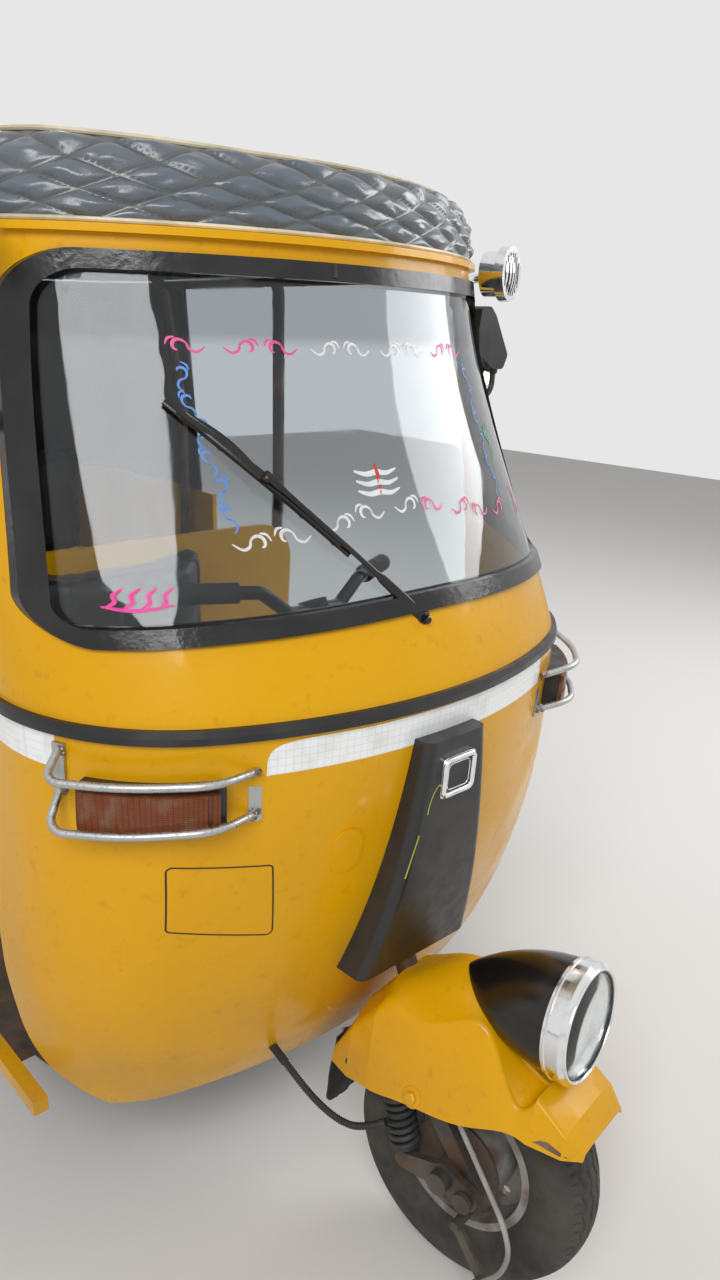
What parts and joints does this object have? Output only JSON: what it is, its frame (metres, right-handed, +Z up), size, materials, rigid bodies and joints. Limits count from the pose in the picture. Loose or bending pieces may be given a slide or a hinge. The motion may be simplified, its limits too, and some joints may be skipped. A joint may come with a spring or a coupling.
{
  "type": "auto rickshaw",
  "caption": "Three-wheeled auto rickshaw with a pressed-steel cab, open sides, soft quilted roof, handlebar steering and a rear engine under a bench seat",
  "frame": {"origin": "on the ground under the middle of the vehicle's bounding box", "axes": "+Z up, the vehicle drives towards -Y, +X is its left side"},
  "size_m": [1.312, 2.6285, 1.6553],
  "materials": {
    "yellow_paint": "gloss",
    "black_rubber": "matte",
    "grey_cable": "matte",
    "black_vinyl": "satin",
    "black_paint": "satin",
    "dark_cowl": "satin",
    "bright_chrome": "polished",
    "black_plastic": "satin",
    "grey_metal": "matte",
    "seat_vinyl": "satin",
    "cast_alloy": "matte",
    "silver_rim": "satin",
    "tyre_rubber": "matte",
    "clear_glass": "gloss",
    "guard_steel": "brushed",
    "amber_plastic": "gloss",
    "red_plastic": "gloss",
    "seal_rubber": "gloss"
  },
  "bodies": {
    "chassis_body": {"apron": "yellow_paint", "belt_strip": "black_rubber", "brake_hose": "black_rubber", "canopy": "black_vinyl", "chassis": "black_paint", "column_cowl": "dark_cowl", "cowl_badge": "bright_chrome", "dashboard": "black_plastic", "drive_shafts": "grey_metal", "driver_seat": "seat_vinyl", "engine": "cast_alloy", "floor_pan": "black_paint", "hood_frame": "black_paint", "hood_rear": "black_vinyl", "indicator_guards": "guard_steel", "indicator_housings": "black_plastic", "indicator_lenses": "amber_plastic", "lid_hinges": "black_paint", "mirrors": "black_plastic", "partition": "yellow_paint", "passenger_backrest": "seat_vinyl", "passenger_seat": "seat_vinyl", "rear_arms": "grey_metal", "rear_bumper": "black_paint", "rear_springs": "black_paint", "rear_tub": "yellow_paint", "roof_horns": "bright_chrome", "roof_visor": "yellow_paint", "seat_deck": "black_paint", "side_sills": "yellow_paint", "silencer": "grey_metal", "steering_head": "black_paint", "tail_lamps": "red_plastic", "windscreen_glass": "clear_glass", "windscreen_seal": "seal_rubber", "windscreen_surround": "yellow_paint", "wiper": "black_paint"},
    "steering": {"steering_fork": "grey_metal", "fork_link": "grey_metal", "front_shock": "grey_metal", "front_fender": "yellow_paint", "headlamp_shell": "black_paint", "headlamp_ring": "bright_chrome", "headlamp_lens": "clear_glass", "mudflap": "black_rubber", "handlebar": "black_paint", "handlebar_grips": "black_rubber", "brake_cable": "grey_cable"},
    "front_wheel": {"front_tyre": "tyre_rubber", "front_rim": "silver_rim"},
    "rear_left_wheel": {"rear_left_tyre": "tyre_rubber", "rear_left_rim": "silver_rim"},
    "rear_right_wheel": {"rear_right_tyre": "tyre_rubber", "rear_right_rim": "silver_rim"},
    "rear_lid": {"engine_lid": "yellow_paint"}
  },
  "joints": [
    {"name": "steering", "type": "hinge", "parent": "chassis_body", "child": "steering", "pos_m": [0, -0.86223, 0.63], "axis": [0, 0.4226, 0.9063], "range_deg": [-50, 30], "deforming": ["brake_hose"]},
    {"name": "front_wheel_spin", "type": "hinge", "parent": "steering", "child": "front_wheel", "pos_m": [0.00765, -1.10939, 0.20259], "axis": [0.9848, 0.1574, -0.0734], "continuous": true},
    {"name": "rear_left_wheel_spin", "type": "hinge", "parent": "chassis_body", "child": "rear_left_wheel", "pos_m": [0.575, 0.89, 0.203], "axis": [1, 0, 0], "continuous": true},
    {"name": "rear_right_wheel_spin", "type": "hinge", "parent": "chassis_body", "child": "rear_right_wheel", "pos_m": [-0.575, 0.89, 0.203], "axis": [1, 0, 0], "continuous": true},
    {"name": "engine_lid_hinge", "type": "hinge", "parent": "chassis_body", "child": "rear_lid", "pos_m": [0, 1.27, 0.657], "axis": [1, 0, 0], "range_deg": [0, 75]}
  ]
}
